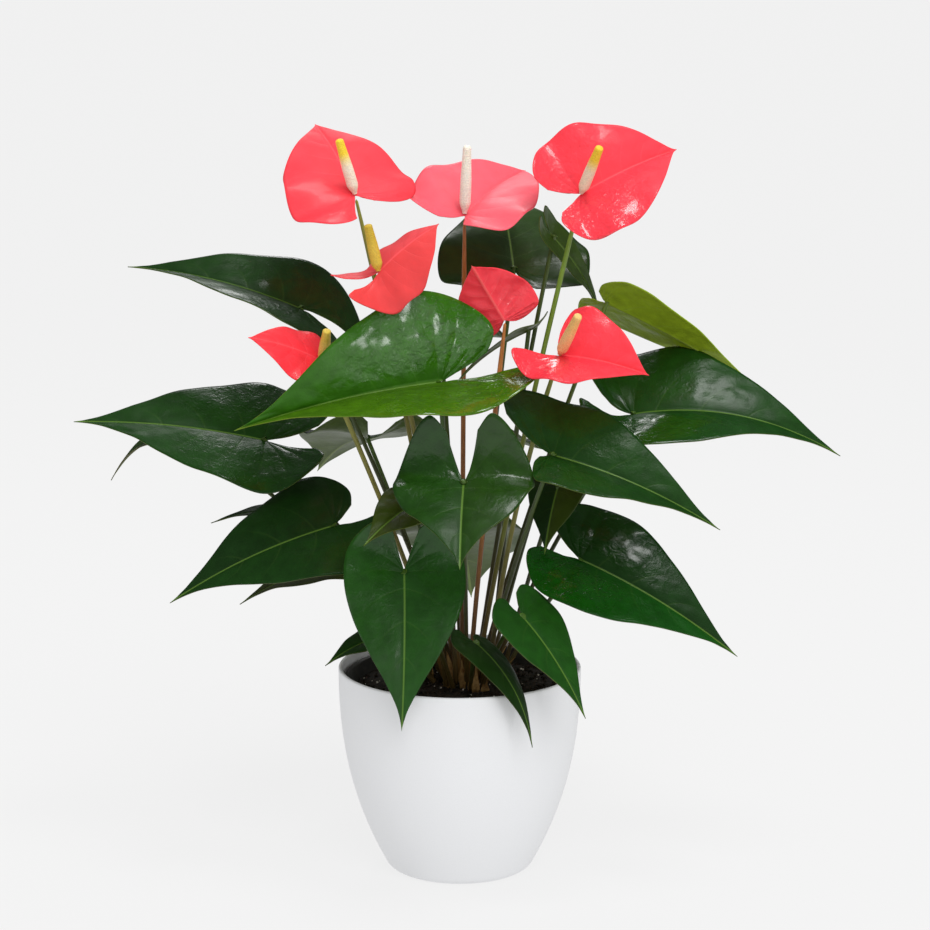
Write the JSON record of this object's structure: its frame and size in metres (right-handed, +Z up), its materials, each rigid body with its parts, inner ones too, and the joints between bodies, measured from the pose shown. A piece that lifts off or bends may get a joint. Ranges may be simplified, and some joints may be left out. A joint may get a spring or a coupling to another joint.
{
  "type": "potted anthurium",
  "caption": "Flowering houseplant with thin-stalked heart-shaped leaves and coral-red spathes, in potting soil in a tapered round white cover pot.",
  "frame": {"origin": "centre of the cover pot's flat base, on the surface that it stands on", "axes": "+Z up along the pot's axis, -Y towards the side the flowers are seen from, +X to the right seen from that side"},
  "size_m": [0.6022, 0.3845, 0.5903],
  "materials": {
    "pot_white": "fine matte moulded white",
    "grow_pot_black": "dull black moulded",
    "potting_mix": "dark moist fibrous crumb with pale mineral specks",
    "leaf_green": "waxy leaf, satin gloss, light veins",
    "spathe_coral": "waxy high gloss, raised veins",
    "spadix_cream": "finely beaded satin",
    "flower_stalk": "smooth satin stalk, olive to red-brown"
  },
  "bodies": {
    "root": {"cover_pot": "pot_white", "grow_pot": "grow_pot_black", "leaf_back_high": "leaf_green", "leaf_back_left": "leaf_green", "leaf_back_low": "leaf_green", "leaf_back_right": "leaf_green", "leaf_centre_bright": "leaf_green", "leaf_front_centre": "leaf_green", "leaf_front_dark": "leaf_green", "leaf_front_left": "leaf_green", "leaf_front_right": "leaf_green", "leaf_left_broad": "leaf_green", "leaf_left_rear": "leaf_green", "leaf_low_left": "leaf_green", "leaf_low_left_rear": "leaf_green", "leaf_low_left_under": "leaf_green", "leaf_low_right": "leaf_green", "leaf_mid_rear": "leaf_green", "leaf_right_broad": "leaf_green", "leaf_right_hanging": "leaf_green", "leaf_right_lime": "leaf_green", "leaf_right_mid": "leaf_green", "leaf_rim_left": "leaf_green", "leaf_small_olive": "leaf_green", "leaf_top_hanging": "leaf_green", "leaf_top_left": "leaf_green", "leaf_top_rear": "leaf_green", "potting_soil": "potting_mix", "spadix_centre": "spadix_cream", "spadix_left_high": "spadix_cream", "spadix_left_low": "spadix_cream", "spadix_left_mid": "spadix_cream", "spadix_middle_high": "spadix_cream", "spadix_right_high": "spadix_cream", "spadix_right_side": "spadix_cream", "spathe_centre": "spathe_coral", "spathe_left_high": "spathe_coral", "spathe_left_low": "spathe_coral", "spathe_left_mid": "spathe_coral", "spathe_middle_high": "spathe_coral", "spathe_right_high": "spathe_coral", "spathe_right_side": "spathe_coral", "stalk_centre": "flower_stalk", "stalk_left_high": "flower_stalk", "stalk_left_low": "flower_stalk", "stalk_left_mid": "flower_stalk", "stalk_middle_high": "flower_stalk", "stalk_right_high": "flower_stalk", "stalk_right_side": "flower_stalk"}
  },
  "joints": []
}
